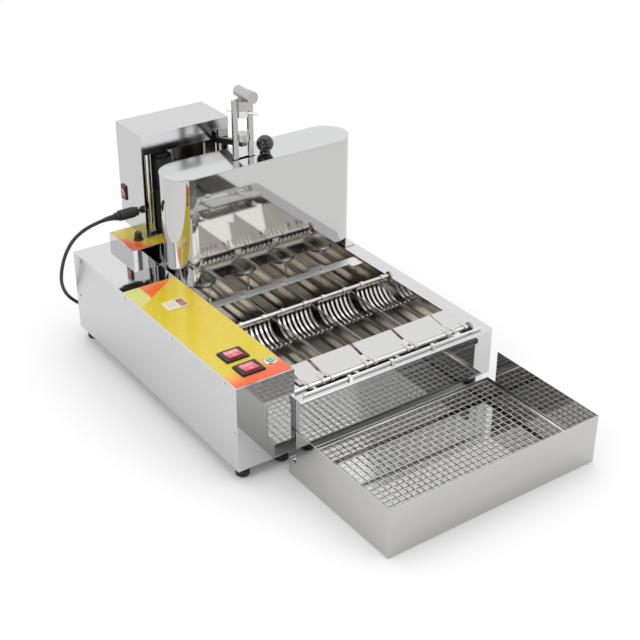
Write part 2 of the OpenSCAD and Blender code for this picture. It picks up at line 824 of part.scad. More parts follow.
module speed_knob() {
  r = knob_d / 2;
  bottom = deck_top + overlay_t + gap;
  color("#222222") placed() translate([knob_x, knob_y, bottom]) difference() {
    union() {
      rotate_extrude() polygon([
        [0, 0], [r, 0], [r, 2], [r - 2, 3.5], [r - 3, knob_h - 1.5], [r - 4.5, knob_h], [0, knob_h]
      ]);
      translate([-2, -r, 2]) cube([4, r, knob_h - 3]);
    }
    translate([0, 0, -1]) cylinder(d = spindle_d + 2 * shaft_play, h = 12.5);
  }
}

// ---- lift head ----
module head_housing() {
  x1 = head_x + head_w;
  y1 = head_y + head_l;
  top = head_top - sheet;
  color("silver") placed() difference() {
    span([head_x, head_y, deck_top], [x1, y1, top]);
    span([head_x + sheet, head_y - 1, deck_top + sheet], [x1 - sheet, y1 - sheet, top + 1]);
    translate([head_x - 1, head_switch_y - 8, head_switch_z - 13]) cube([sheet + 2, 16, 26]);
    translate([head_x - 1, connector_y, connector_z]) rod_x(14, sheet + 2);
  }
}

cover_lap = 1.5;
module head_top_cover() {
  color("gainsboro") placed() {
    span([head_x, head_y - cover_lap, head_top - sheet], [head_x + head_w, head_y + head_l, head_top]);
    span([head_x, head_y - cover_lap, head_top - lip_h], [head_x + head_w, head_y, head_top - sheet + eps]);
  }
}

module head_front_plate() {
  top = head_top - sheet;
  bottom = head_top - lip_h - brow_h;
  notch = lever_w / 2 + 3;
  color("gainsboro") placed() difference() {
    union() {
      span([head_x + sheet, head_y, bottom], [head_x + head_w - sheet, head_y + sheet, top]);
      span([head_x + sheet, head_y, bottom], [head_x + head_w - sheet, head_y + 9, bottom + sheet]);
    }
    span([yoke_x - notch, head_y - 1, bottom - 1], [yoke_x + notch, head_y + 10, bottom + brow_h - 3]);
  }
}

column_x = [head_x + sheet + column_d / 2 + 11, yoke_x + lever_w / 2 + 2 + column_d / 2];
column_y = head_y + sheet + column_d / 2 + 9;
module head_columns() {
  base = deck_top + sheet;
  color("whitesmoke") placed() for (x = column_x) translate([x, column_y, 0]) {
    translate([0, 0, base]) cylinder(d = column_d, h = head_top - sheet - base);
    translate([0, 0, base]) cylinder(d = column_d + 6, h = 8, $fn = 6);
  }
}

motor_y = pivot_y - 50;
motor_z = deck_top + 62;
motor_x = head_x + 40;
crank_x = yoke_x - lever_w / 2 - rod_t - 20;
module head_motor() {
  color("dimgray") placed() {
    span([motor_x, motor_y - 20, deck_top + sheet], [motor_x + 60, motor_y + 45, motor_z + 32]);
    translate([motor_x + 30, motor_y + 12, motor_z + 32]) cylinder(d = 54, h = 70);
    translate([motor_x + 30, motor_y + 12, motor_z + 102]) cylinder(d = 40, h = 8);
    translate([motor_x + 60, motor_y, motor_z]) rod_x(12, crank_x + 9 - motor_x - 60);
  }
}

module crank_disc() {
  color("silver") placed() translate([crank_x, motor_y, motor_z]) difference() {
    union() {
      rod_x(crank_d, 10);
      translate([0, 0, crank_throw]) rod_x(8, 20 - 0.5);
    }
    translate([-1, 0, 0]) rod_x(12 + 2 * shaft_play, 10.2);
  }
}

// The lever's middle line at a distance from the front.
function lever_z(y) = pivot_z + (pivot_y - y) * lever_fall;

link_y = motor_y;
module connecting_rod() {
  top = lever_z(link_y);
  color("silver") placed() translate([yoke_x - lever_w / 2 - rod_t, link_y, 0]) difference() {
    union() {
      span([0, -6, motor_z + crank_throw], [rod_t, 6, top]);
      for (z = [motor_z + crank_throw, top]) translate([0, 0, z]) rod_x(20, rod_t);
    }
    translate([-1, 0, motor_z + crank_throw]) rod_x(8 + 2 * shaft_play, rod_t + 2);
    translate([-1, 0, top]) rod_x(8, rod_t + 2);
  }
}

module lift_lever() {
  long = (pivot_y - tip_y) / cos(lever_angle);
  color("#4a4a4a") placed() translate([yoke_x - lever_w / 2, 0, 0]) {
    along_x(lever_w) difference() {
      union() {
        translate([pivot_y, pivot_z]) rotate(-lever_angle) translate([-long, -lever_h / 2]) square([long, lever_h]);
        translate([pivot_y, pivot_z]) circle(d = pivot_d + 12);
        translate([tip_y, tip_z]) circle(d = lever_eye);
      }
      translate([pivot_y, pivot_z]) circle(d = pivot_d + 2 * shaft_play);
    }
    translate([-rod_t, link_y, lever_z(link_y)]) rod_x(8 - 2 * hub_play, rod_t + 2);
  }
}

module lever_bracket() {
  side = lever_w / 2 + 1;
  y1 = head_y + head_l - sheet;
  color("darkgray") placed() translate([yoke_x, 0, pivot_z]) {
    for (s = [-1, 1]) translate([s * (side + 2) - 2, pivot_y - 12, -14]) cube([4, y1 - pivot_y + 12, 28]);
    translate([-side - 4, y1 - 4, -26]) cube([2 * side + 8, 4, 52]);
    translate([-side - 6, pivot_y, 0]) rod_x(pivot_d, 2 * side + 12);
  }
}

head_switch_y = head_y + 95;
head_switch_z = deck_top + 77;
module on_head_side() {
  translate([head_x, head_switch_y, head_switch_z]) rotate([0, -90, 0]) children();
}

module head_switch_frame() {
  color("#222222") placed() on_head_side() rotate([0, 0, 90]) difference() {
    union() {
      translate([-11, -17, 0]) linear_extrude(3) round_rect(22, 34, 2);
      translate([-7.5, -12.5, -16]) cube([15, 25, 16 + eps]);
    }
    cube([12 + 2 * gap, 21 + 2 * gap, 12], center = true);
  }
}

module head_rocker() {
  color("crimson") placed() on_head_side() rotate([0, 0, 90]) rocker(12, 21, 3);
}

module cable_connector() {
  x1 = head_x - connector_tail;
  color("#222222") placed() translate([0, connector_y, connector_z]) {
    translate([x1 - connector_l, 0, 0]) rod_x(connector_d - 6, 10);
    translate([x1 - connector_l + 9, 0, 0]) rod_x(connector_d, connector_l - 18);
    translate([x1 - 10, 0, 0]) rod_x(connector_d - 4, 10);
    translate([x1 - 1, 0, 0]) rod_x(cable_d - 2, connector_tail - 3);
  }
}

module head_cable() {
  color("#181818") placed() swept_tube(smooth_route(cable_route), cable_d / 2, cable_sides);
}

module head_gland() {
  color("#222222") placed() translate([head_x, connector_y, connector_z]) difference() {
    union() {
      translate([-5, 0, 0]) rod_x(18, 5, 6);
      translate([-eps, 0, 0]) rod_x(14, sheet + 4);
      translate([sheet, 0, 0]) rod_x(18, 4, 6);
    }
    translate([-6, 0, 0]) rod_x(cable_d, 20);
  }
}

// ---- hopper ----
// A Z-shaped bracket at each end carries the hopper on the tank's rim.
cradle_t = 3;
cradle_l = 60;
module hopper_cradle() {
  foot_w = rim_flat - 8;
  top_w = 18;
  color("silver") placed() for (side = [0, 1]) translate([tank_mid, hopper_y - cradle_l / 2, 0]) mirror([side, 0, 0])
    translate([4 - tank_w / 2, 0, 0]) along_y(cradle_l) polygon([
      [0, rim_top], [foot_w, rim_top], [foot_w, hopper_floor - cradle_t], [foot_w + top_w, hopper_floor - cradle_t],
      [foot_w + top_w, hopper_floor], [foot_w - cradle_t, hopper_floor], [foot_w - cradle_t, rim_top + cradle_t],
      [0, rim_top + cradle_t]
    ]);
}

module hopper_body() {
  floor_t = 2;
  color("whitesmoke") placed() translate([hopper_x, hopper_y, hopper_floor]) difference() {
    linear_extrude(hopper_h) stadium(hopper_w, hopper_l);
    translate([0, 0, floor_t]) linear_extrude(hopper_h) stadium(hopper_w - 2 * sheet, hopper_l - 2 * sheet);
    for (i = [0:lanes - 1]) translate([lane_x(i) - hopper_x, 0, -1]) cylinder(d = nozzle_d, h = floor_t + 2);
  }
}

nozzle_od = nozzle_d + 2 * nozzle_wall;
module dough_nozzles() {
  color("lightgray") placed() for (i = [0:lanes - 1])
    translate([lane_x(i), hopper_y, hopper_floor - nozzle_l]) difference() {
      union() {
        cylinder(d = nozzle_od, h = nozzle_l);
        cylinder(d = nozzle_od + 6, h = 3);
        translate([0, 0, nozzle_l - 4]) cylinder(d = nozzle_od + 8, h = 4);
      }
      translate([0, 0, -1]) cylinder(d = nozzle_d, h = nozzle_l + 2);
    }
}

// A flat lid over the hopper's edge, with a low skirt inside and a slot for the yoke.
module hopper_lid() {
  skirt_h = 6;
  inner = 2 * sheet + 1;
  color("gainsboro") placed() translate([hopper_x, hopper_y, lid_z]) difference() {
    union() {
      linear_extrude(lid_t) stadium(hopper_w + 1, hopper_l + 1);
      translate([0, 0, -skirt_h]) linear_extrude(skirt_h + eps) stadium(hopper_w - inner, hopper_l - inner);
    }
    translate([0, 0, -skirt_h - 1]) linear_extrude(skirt_h + 1)
      stadium(hopper_w - inner - 2 * sheet, hopper_l - inner - 2 * sheet);
    translate([yoke_x - hopper_x, yoke_y - hopper_y, 0]) cube([post_pitch + post_w + 6, post_t + 6, 9], center = true);
  }
}

module lid_knob() {
  r = ball_d / 2;
  color("#1c1c1c") placed() translate([ball_x, yoke_y, lid_z + lid_t]) {
    cylinder(d1 = ball_d * 0.66, d2 = ball_d * 0.5, h = 5);
    translate([0, 0, r + 1]) difference() {
      sphere(r = r, $fn = 64);
      translate([-r, -r, -r - 5]) cube([2 * r, 2 * r, 6]);
    }
  }
}

// ---- yoke that lifts the plungers ----
beam_z = hopper_floor + 66;
beam_h = 8;
module yoke_posts() {
  top = upper_z + block_h + 2;
  color("darkgray") placed() for (s = [-1, 1])
    translate([yoke_x + s * post_pitch / 2 - post_w / 2, yoke_y - post_t / 2, beam_z + beam_h])
      cube([post_w, post_t, top - beam_z - beam_h]);
}

block_w = post_pitch - post_w;
block_d = block_w + 4;
// A round block with two flats that lie against the posts.
module cross_block(z, h) {
  translate([0, 0, z]) intersection() {
    cylinder(d = block_d, h = h);
    translate([-block_w / 2, -block_d, 0]) cube([block_w, 2 * block_d, h]);
  }
}

module cross_blocks() {
  color("silver") placed() translate([yoke_x, yoke_y, 0]) {
    cross_block(block_z, lower_h);
    cross_block(upper_z, block_h);
  }
}

pin_z = nut_z + nut_h - 5;
pin_turn = 34;
module adjusting_nut() {
  color("lightgray") placed() translate([yoke_x, yoke_y, 0]) difference() {
    union() {
      translate([0, 0, nut_z]) cylinder(d = block_w - 2, h = nut_h);
      translate([0, 0, nut_z + nut_h - eps]) cylinder(d = 12, h = nut_neck + eps);
    }
    rotate([0, 0, pin_turn]) translate([0, -block_w, pin_z]) rod_y(pin_d + 2 * hub_play, 2 * block_w, fn_small);
  }
}

module cross_pin() {
  color("lightgray") placed() translate([yoke_x, yoke_y, pin_z]) rotate([0, 0, pin_turn])
    translate([0, -pin_l / 2, 0]) rod_y(pin_d, pin_l, fn_small);
}

module yoke_roller() {
  rear = 15;
  front = 25;
  cap_l = 18;
  color("lightgray") placed() translate([yoke_x, yoke_y, roller_z]) {
    translate([0, -front, 0]) rod_y(roller_d, front + rear);
    translate([0, -front - cap_l, 0]) rod_y(roller_d + 3, cap_l + eps);
    translate([-6, -7, -roller_d / 2 - saddle_h]) cube([12, 14, roller_d / 2 + saddle_h]);
  }
}

module plungers() {
  reach = lane_x(lanes - 1) - lane_x(0) + 28;
  color("silver") placed() {
    translate([lane_x(0) - 14, yoke_y - 8, beam_z]) cube([reach, hopper_y - yoke_y + 16, beam_h]);
    for (i = [0:lanes - 1]) translate([lane_x(i), hopper_y, 0]) {
      translate([0, 0, hopper_floor - nozzle_l - 10]) cylinder(d = rod_d, h = beam_z - hopper_floor + nozzle_l + 10);
      translate([0, 0, hopper_floor - nozzle_l + 6]) cylinder(d = nozzle_d - 1.2, h = 14);
      translate([0, 0, hopper_floor - nozzle_l - 10]) rotate_extrude()
        polygon([[0, 0], [nozzle_d / 2 - 3, 0], [nozzle_d / 2 - 3, 2], [rod_d / 2, 9], [0, 9]]);
    }
  }
}

// ---- drip tray and mesh ----
tray_x = tank_mid - tray_shift - tray_w / 2;
tray_y = -tank_lead - tray_gap - tray_l;
tray_t = 1.2;
ledge_w = 8;
mesh_t = 2 * wire_d;
ledge_z = tray_low_h - mesh_t - 3;
// High walls at the front and sides and a low wall at the back.
module drip_tray() {
  inner_w = tray_w - 2 * tray_t;
  inner_l = tray_l - 2 * tray_t;
  color("lightgray") placed() translate([tray_x, tray_y, 0]) difference() {
    union() {
      cube([tray_w, tray_l - tray_low_l, tray_h]);
      cube([tray_w, tray_l, tray_low_h]);
    }
    translate([tray_t, tray_t, tray_t]) cube([inner_w, inner_l, tray_h]);
  }
}

// Four strips welded inside the tray's walls, which the mesh lies on.
module tray_ledges() {
  inner_w = tray_w - 2 * tray_t;
  inner_l = tray_l - 2 * tray_t;
  color("lightgray") placed() translate([tray_x + tray_t, tray_y + tray_t, ledge_z - tray_t]) {
    for (y = [0, inner_l - ledge_w]) translate([0, y, 0]) cube([inner_w, ledge_w, tray_t]);
    for (x = [0, inner_w - ledge_w]) translate([x, ledge_w + gap, 0])
      cube([ledge_w, inner_l - 2 * (ledge_w + gap), tray_t]);
  }
}

module mesh_grid() {
  play = 1.2;
  w = tray_w - 2 * (tray_t + play);
  l = tray_l - 2 * (tray_t + play);
  nx = floor((w - 6) / wire_pitch);
  ny = floor((l - 6) / wire_pitch);
  x0 = (w - nx * wire_pitch) / 2;
  y0 = (l - ny * wire_pitch) / 2;
  color("silver") placed() translate([tray_x + tray_t + play, tray_y + tray_t + play, ledge_z + gap]) {
    difference() {
      cube([w, l, mesh_t]);
      translate([4, 4, -1]) cube([w - 8, l - 8, 9]);
    }
    for (i = [0:nx]) translate([x0 + i * wire_pitch, 3, wire_d / 2]) rod_y(wire_d - 0.1, l - 6, 16);
    for (i = [0:ny]) translate([3, y0 + i * wire_pitch, wire_d * 1.5]) rod_x(wire_d - 0.1, w - 6, 16);
  }
}

// ---- fasteners ----
side_inset = 40;
end_inset = 14;
module pan_screw() {
  cylinder(d = 7, h = screw_h, $fn = fn_small);
}

module screws() {
  color("silver") placed() {
    for (k = [0:3]) translate([0, side_inset + k * (box_len - 2 * side_inset) / 3, box_top - 8])
      rotate([0, -90, 0]) pan_screw();
    for (y = [end_inset, box_len - end_inset]) translate([0, y, foot_h + box_h * 0.45]) rotate([0, -90, 0]) pan_screw();
    for (i = [1:lanes - 1]) translate([divider_x(i), clamp_y + clamp_l / 2, divider_top + 2]) pan_screw();
  }
}

control_box_shell();
control_box_base();
control_panel();
controller_case();
controller_display();
panel_switch_frames();
power_rocker();
heat_rocker();
start_button_ring();
start_button_cap();
terminal_block();
drive_motors();
cable_glands();
feet();
tank_jacket();
tank_rim();
oil_vat();
lane_dividers();
divider_clamp();
heating_element();
oil_probe();
shaft_bearings();
comb_shaft();
turning_combs();
discharge_shaft();
discharge_plates();
guide_rail();
deck();
deck_panel();
speed_potentiometer();
speed_knob();
head_housing();
head_top_cover();
head_front_plate();
head_columns();
head_motor();
crank_disc();
connecting_rod();
lift_lever();
lever_bracket();
head_switch_frame();
head_rocker();
head_gland();
cable_connector();
head_cable();
hopper_cradle();
hopper_body();
dough_nozzles();
hopper_lid();
lid_knob();
yoke_posts();
cross_blocks();
adjusting_nut();
cross_pin();
yoke_roller();
plungers();
drip_tray();
tray_ledges();
mesh_grid();
screws();
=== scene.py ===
import math
import bpy
import numpy as np
from mathutils import Matrix, Vector


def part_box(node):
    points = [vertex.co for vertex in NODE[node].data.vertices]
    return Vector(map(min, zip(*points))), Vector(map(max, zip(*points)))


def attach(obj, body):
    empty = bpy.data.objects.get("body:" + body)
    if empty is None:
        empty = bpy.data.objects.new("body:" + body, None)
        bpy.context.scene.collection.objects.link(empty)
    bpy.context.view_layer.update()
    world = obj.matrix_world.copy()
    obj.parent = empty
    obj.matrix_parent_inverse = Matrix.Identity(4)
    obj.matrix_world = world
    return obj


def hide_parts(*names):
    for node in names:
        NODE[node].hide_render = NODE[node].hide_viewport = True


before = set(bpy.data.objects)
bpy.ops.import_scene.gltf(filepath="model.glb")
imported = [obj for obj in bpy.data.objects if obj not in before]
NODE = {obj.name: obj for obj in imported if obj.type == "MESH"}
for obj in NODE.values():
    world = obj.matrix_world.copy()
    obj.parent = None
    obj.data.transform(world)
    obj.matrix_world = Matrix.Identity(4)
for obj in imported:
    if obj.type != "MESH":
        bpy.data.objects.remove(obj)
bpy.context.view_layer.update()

# The machine's own corner (control box, front left, on the table) in the row frame, in millimetres.
CORNER = np.array([-312.2, -189.0, 0.0])


def place(points):
    """Points in machine millimetres to row-frame metres: p -> (p + corner) / 1000."""
    return (np.asarray(points, float) + CORNER) / 1000.0


def show(obj):
    """Puts an object into the scene."""
    bpy.context.scene.collection.objects.link(obj)
    return obj


# ------------------------------------------------------------------ camera
EYE = (-1006.7, -1688.3, 1489.1)  # machine millimetres
AZIMUTH, ELEVATION, ROLL = -35.3, 29.9, 0.3  # degrees
LENS, SENSOR = 71.48, 36.0  # millimetres


def look_from(eye_mm, azimuth, elevation, roll):
    """A camera with forward = (-sin a cos e, cos a cos e, -sin e), right = (cos a, sin a, 0), up = right x forward,
    rolled: side = right cos r + up sin r and top = up cos r - right sin r."""
    a, e, r = (math.radians(v) for v in (azimuth, elevation, roll))
    forward = Vector((-math.sin(a) * math.cos(e), math.cos(a) * math.cos(e), -math.sin(e)))
    right = Vector((math.cos(a), math.sin(a), 0.0))
    up = right.cross(forward)
    side = right * math.cos(r) + up * math.sin(r)
    top = up * math.cos(r) - right * math.sin(r)
    turn = Matrix((side, top, -forward)).transposed().to_4x4()
    data = bpy.data.cameras.new("view_camera")
    data.lens = LENS
    data.sensor_width = SENSOR
    data.clip_start, data.clip_end = 0.05, 60.0
    camera = show(bpy.data.objects.new("view_camera", data))
    camera.matrix_world = Matrix.Translation(Vector(place(eye_mm))) @ turn
    bpy.context.scene.camera = camera


look_from(EYE, AZIMUTH, ELEVATION, ROLL)


# ------------------------------------------------------------------ meshes
def mesh_object(name, points_mm, faces, smooth=True):
    """A mesh object from points in machine millimetres and faces as index rows."""
    mesh = bpy.data.meshes.new(name)
    mesh.from_pydata(place(points_mm).tolist(), [], faces)
    mesh.validate()
    mesh.polygons.foreach_set("use_smooth", np.full(len(mesh.polygons), smooth))
    return show(bpy.data.objects.new(name, mesh))


def curve_through(points, per_span):
    """Catmull-Rom curve: p(t) = (2b + (c-a)t + (2a-5b+4c-d)t^2 + (3b-a-3c+d)t^3) / 2 on each span b to c."""
    p = np.asarray(points, float)
    p = np.vstack([2 * p[0] - p[1], p, 2 * p[-1] - p[-2]])
    t = np.linspace(0, 1, per_span, endpoint=False)[:, None]
    spans = []
    for a, b, c, d in zip(p[:-3], p[1:-2], p[2:-1], p[3:]):
        square, cube = 2 * a - 5 * b + 4 * c - d, 3 * b - a - 3 * c + d
        spans.append(0.5 * (2 * b + (c - a) * t + square * t**2 + cube * t**3))
    return np.vstack(spans + [p[-2][None]])


def distance_along(path):
    """Length walked at each point of a path: the running sum of |p(i+1) - p(i)|."""
    return np.concatenate([[0.0], np.cumsum(np.linalg.norm(np.diff(path, axis=0), axis=1))])


def tube_faces(rings, sides):
    """Quads between rings of points, closed round the tube, and one face over each end."""
    ring, k = np.meshgrid(np.arange(rings - 1), np.arange(sides), indexing="ij")
    here, above, after = ring * sides, (ring + 1) * sides, (k + 1) % sides
    quads = np.stack([here + k, here + after, above + after, above + k], -1).reshape(-1, 4)
    last = (rings - 1) * sides
    return quads.tolist() + [list(range(sides - 1, -1, -1)), list(range(last, last + sides))]


def tube_along(path, radius, sides):
    """Rings carried along a path: path(s) + r(s) (cos q u + sin q v), with u and v carried without twist."""
    path = np.asarray(path, float)
    radius = np.broadcast_to(np.asarray(radius, float), (len(path),))
    tangent = np.gradient(path, axis=0)
    tangent /= np.linalg.norm(tangent, axis=1)[:, None]
    u = np.cross(tangent[0], [0.1, 0.2, 1.0])
    carried = []
    for t in tangent:
        u = u - t * np.dot(u, t)
        u /= np.linalg.norm(u)
        carried.append(u)
    us = np.array(carried)
    vs = np.cross(tangent, us)
    q = np.linspace(0, 2 * math.pi, sides, endpoint=False)
    ring = np.cos(q)[None, :, None] * us[:, None, :] + np.sin(q)[None, :, None] * vs[:, None, :]
    points = path[:, None, :] + radius[:, None, None] * ring
    return points.reshape(-1, 3), tube_faces(len(path), sides)


def block(low, high):
    """An upright box between two corners."""
    corners = np.array([[(low[0], high[0])[i], (low[1], high[1])[j], (low[2], high[2])[k]]
                        for i in (0, 1) for j in (0, 1) for k in (0, 1)], float)
    return corners, [[0, 1, 3, 2], [4, 6, 7, 5], [0, 4, 5, 1], [2, 3, 7, 6], [0, 2, 6, 4], [1, 5, 7, 3]]


def join_parts(parts):
    """Several (points, faces) pairs as one."""
    points, faces, start = [], [], 0
    for p, f in parts:
        points.append(p)
        faces += [[i + start for i in row] for row in f]
        start += len(p)
    return np.vstack(points), faces


def add_piece(name, parts, material, body, smooth=True):
    """One finished piece from (points, faces) pairs, carried by a body."""
    piece = mesh_object(name, *join_parts(parts), smooth)
    piece.data.materials.append(material)
    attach(piece, body)
    return piece


def machine_box(name):
    """A CAD node's box in machine millimetres."""
    low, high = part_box(name)
    return np.array(low) * 1000.0 - CORNER, np.array(high) * 1000.0 - CORNER


# ------------------------------------------------------------------ shader maths
class Val:
    """A node socket that adds Math nodes when it is used in an expression."""

    def __init__(self, shading, socket):
        self.shading = shading
        self.socket = socket

    def _math(self, operation, *others):
        return self.shading.node("ShaderNodeMath", {"operation": operation}, [self, *others])

    def _after(self, first, operation):
        return self.shading.node("ShaderNodeMath", {"operation": operation}, [first, self])

    def __add__(self, o): return self._math("ADD", o)
    def __radd__(self, o): return self._after(o, "ADD")
    def __sub__(self, o): return self._math("SUBTRACT", o)
    def __rsub__(self, o): return self._after(o, "SUBTRACT")
    def __mul__(self, o): return self._math("MULTIPLY", o)
    def __rmul__(self, o): return self._after(o, "MULTIPLY")
    def __truediv__(self, o): return self._math("DIVIDE", o)
    def __rtruediv__(self, o): return self._after(o, "DIVIDE")
    def __gt__(self, o): return self._math("GREATER_THAN", o)
    def __lt__(self, o): return self._math("LESS_THAN", o)
    def abs(self): return self._math("ABSOLUTE")
    def sqrt(self): return self._math("SQRT")
    def most(self, o): return self._math("MAXIMUM", o)
    def clamp(self): return self.shading.node("ShaderNodeClamp", {}, [self, 0.0, 1.0])


class Shading:
    """A node tree under construction."""

    def __init__(self, tree):
        self.tree = tree
        self._coords = {}

    def feed(self, socket, value):
        if isinstance(value, Val):
            self.tree.links.new(value.socket, socket)
        else:
            socket.default_value = value

    def node(self, kind, settings, inputs, output=0):
        """Adds a node of a type: its settings or a ramp's stops first, then the value or link of each socket."""
        made = self.tree.nodes.new(kind)
        for key, value in settings.items():
            if key == "stops":
                for element, (position, colour) in zip(made.color_ramp.elements, value):
                    element.position = position
                    element.color = colour
            else:
                setattr(made, key, value)
        pairs = inputs.items() if isinstance(inputs, dict) else enumerate(inputs)
        for key, value in pairs:
            self.feed(made.inputs[key], value)
        return Val(self, made.outputs[output])

    def coords(self, kind="Object"):
        if kind not in self._coords:
            self._coords[kind] = self.node("ShaderNodeTexCoord", {}, {}, kind)
        return self._coords[kind]

    def seen_by(self, ray):
        """1 for one kind of ray, such as "Is Camera Ray", and 0 for the others."""
        return self.node("ShaderNodeLightPath", {}, {}, ray)


class Look(Shading):
    """One material under construction."""

    def __init__(self, name, base, rough, metal=0.0, **constants):
        self.material = bpy.data.materials.new(name)
        self.material.use_nodes = True
        super().__init__(self.material.node_tree)
        self.shader = self.tree.nodes["Principled BSDF"]
        self.set("Base Color", (*base, 1.0))
        self.set("Roughness", rough)
        self.set("Metallic", metal)
        for key, value in constants.items():
            self.set(key.replace("_", " "), value)

    def set(self, socket, value):
        self.feed(self.shader.inputs[socket], value)

    def axis(self, name):
        return self.node("ShaderNodeSeparateXYZ", {}, [self.coords()], name)

    def noise(self, scale, stretch=(1, 1, 1), detail=3.0):
        mapped = self.node("ShaderNodeMapping", {}, {"Vector": self.coords(), "Scale": stretch})
        inputs = {"Vector": mapped, "Scale": scale, "Detail": detail, "Roughness": 0.5}
        return self.node("ShaderNodeTexNoise", {}, inputs, "Fac")

    def mix(self, factor, a, b):
        """Colour a + factor (b - a)."""
        a, b = (colour if isinstance(colour, Val) else (*colour, 1.0) for colour in (a, b))
        return self.node("ShaderNodeMix", {"data_type": "RGBA"}, {0: factor, 6: a, 7: b}, 2)

    def wear(self, rough, spread, scale=22.0):
        """Roughness = rough + spread (noise - 1/2)."""
        self.set("Roughness", (self.noise(scale) - 0.5) * spread + rough)
        return self.material


# ------------------------------------------------------------------ finishes
FOLD_R, FINE_EDGE_R = 0.0011, 0.0003  # how round edges look on folded sheet and on bars, metres
WAVE_DEPTH = 0.0008  # metres, at a bump strength of 1
BRUSHED = 90.0  # how much finer the grain is across its axis than along it
GRAIN_SHARE = 0.02  # of a brushed grain in the height
SIDE_WITHIN = 0.5  # millimetres in from the machine's left side that still count as it
UNEVEN = 0.35  # share of a sheet's roughness that its grain moves


def sheet_metal(name, base, rough, wave=0.05, along=None, edge=FOLD_R, left_rough=None):
    """Polished sheet with rounded bends: height = slow noise + share x grain where it is brushed along an axis, and
    roughness = level + uneven x rough x (grain - 1/2), where level is left_rough on the machine's left side."""
    look = Look(name, base, rough, 1.0)
    bends = look.node("ShaderNodeBevel", {"samples": 4}, {"Radius": edge})
    height = look.noise(5.0, detail=1.0)
    if along:
        grain = look.noise(9.0, [1.0 if axis == along else BRUSHED for axis in "xyz"], detail=2.0)
        height = height + grain * GRAIN_SHARE
    else:
        grain = look.noise(14.0)
    level = rough
    if left_rough:
        left_side = look.axis("X") < (CORNER[0] + SIDE_WITHIN) / 1000.0
        level = left_side * (left_rough - rough) + rough
    look.set("Roughness", (grain - 0.5) * UNEVEN * rough + level)
    inputs = {"Strength": wave, "Distance": WAVE_DEPTH, "Height": height, "Normal": bends}
    look.set("Normal", look.node("ShaderNodeBump", {}, inputs))
    return look.material


def metal(name, base, rough, spread, scale=22.0):
    """Turned, drawn or cast metal with a slightly uneven gloss."""
    return Look(name, base, rough, 1.0).wear(rough, spread, scale)


def plastic(name, base, rough, spread=0.08, **constants):
    """Moulded plastic with a slightly uneven gloss."""
    return Look(name, base, rough, **constants).wear(rough, spread)


mirror = sheet_metal("mirror_sheet", (0.56, 0.56, 0.555), 0.045)
lid_sheet = sheet_metal("lid_sheet", (0.58, 0.585, 0.59), 0.12, 0.03)
box_sheet = sheet_metal("box_sheet", (0.62, 0.62, 0.625), 0.06, 0.04, left_rough=0.3)
head_sheet = sheet_metal("head_sheet", (0.56, 0.56, 0.565), 0.16, 0.03)
tray_sheet = sheet_metal("tray_sheet", (0.545, 0.54, 0.53), 0.045, 0.03, "x")
vat_sheet = sheet_metal("vat_sheet", (0.74, 0.715, 0.675), 0.11, 0.06)
comb_steel = sheet_metal("comb_steel", (0.62, 0.61, 0.59), 0.1, 0.02, edge=FINE_EDGE_R)
plate_sheet = sheet_metal("plate_sheet", (0.62, 0.615, 0.605), 0.14, 0.04, "x", 0.0005)
clamp_sheet = sheet_metal("clamp_sheet", (0.84, 0.83, 0.81), 0.5, 0.05, "x")
bright_steel = sheet_metal("bright_steel", (0.74, 0.74, 0.735), 0.08, 0.02, edge=FINE_EDGE_R)
mesh_wire = metal("mesh_wire", (0.62, 0.615, 0.6), 0.24, 0.12, 80.0)
turned_steel = metal("turned_steel", (0.47, 0.465, 0.455), 0.2, 0.1, 60.0)
dark_steel = metal("dark_steel", (0.16, 0.16, 0.165), 0.38, 0.12)
heater_tube = metal("heater_tube", (0.56, 0.54, 0.5), 0.3, 0.15)
probe_brass = metal("probe_brass", (0.62, 0.47, 0.22), 0.33, 0.1)
motor_paint = plastic("motor_paint", (0.045, 0.047, 0.05), 0.45)
black_plastic = plastic("black_plastic", (0.018, 0.018, 0.019), 0.34)
knob_black = plastic("knob_black", (0.012, 0.012, 0.013), 0.14, 0.05, Coat_Weight=0.4, Coat_Roughness=0.08)
foot_rubber = plastic("foot_rubber", (0.016, 0.016, 0.016), 0.62)
cable_skin = plastic("cable_skin", (0.012, 0.012, 0.013), 0.36)
ivory_plastic = plastic("ivory_plastic", (0.76, 0.7, 0.52), 0.4)
key_pad = plastic("key_pad", (0.62, 0.58, 0.5), 0.5)
display_glass = plastic("display_glass", (0.11, 0.045, 0.045), 0.1, 0.02, Coat_Weight=0.8, Coat_Roughness=0.03)
digit_red = Look("digit_red", (0.5, 0.02, 0.02), 0.4,
                 Emission_Color=(1.0, 0.06, 0.05, 1.0), Emission_Strength=0.9).material
head_red = plastic("head_rocker", (0.6, 0.02, 0.03), 0.2, 0.05, Coat_Weight=0.7, Coat_Roughness=0.05)


# ------------------------------------------------------------------ switches and printed films
# Centres in machine millimetres.
PANEL_ROCKERS = [(59.0, 48.0), (59.0, 105.0)]
START_BUTTON = (107.0, 48.0)
START_SIGN = (98.5, 299.7)

# A rocker's raised half, painted paler as a painted sheen where it catches the light, runs between two distances
# north of its centre, and its marks stand at one distance off it.
RAISED_FROM, RAISED_TO = 1.0, 14.0
MARK_OFF = 7.0

# Lines across the films: the direction that a line faces in degrees, a point on it, and the width of its change.
WEDGES = (125.3, 118.8, 450.0, 0.6)
PALE_WEDGE = (180.0, 42.0, 400.0, 3.0)
WEDGE_SHADE = (90.0, 60.0, 425.0, 30.0)
FRONT_ORANGE, FRONT_RED = (-80.0, 31.0, 62.0, 30.0), (-80.0, 31.0, 36.0, 22.0)
REAR_ORANGE, REAR_RED = (210.6, 104.0, 640.0, 14.0), (210.6, 92.0, 638.0, 12.0)

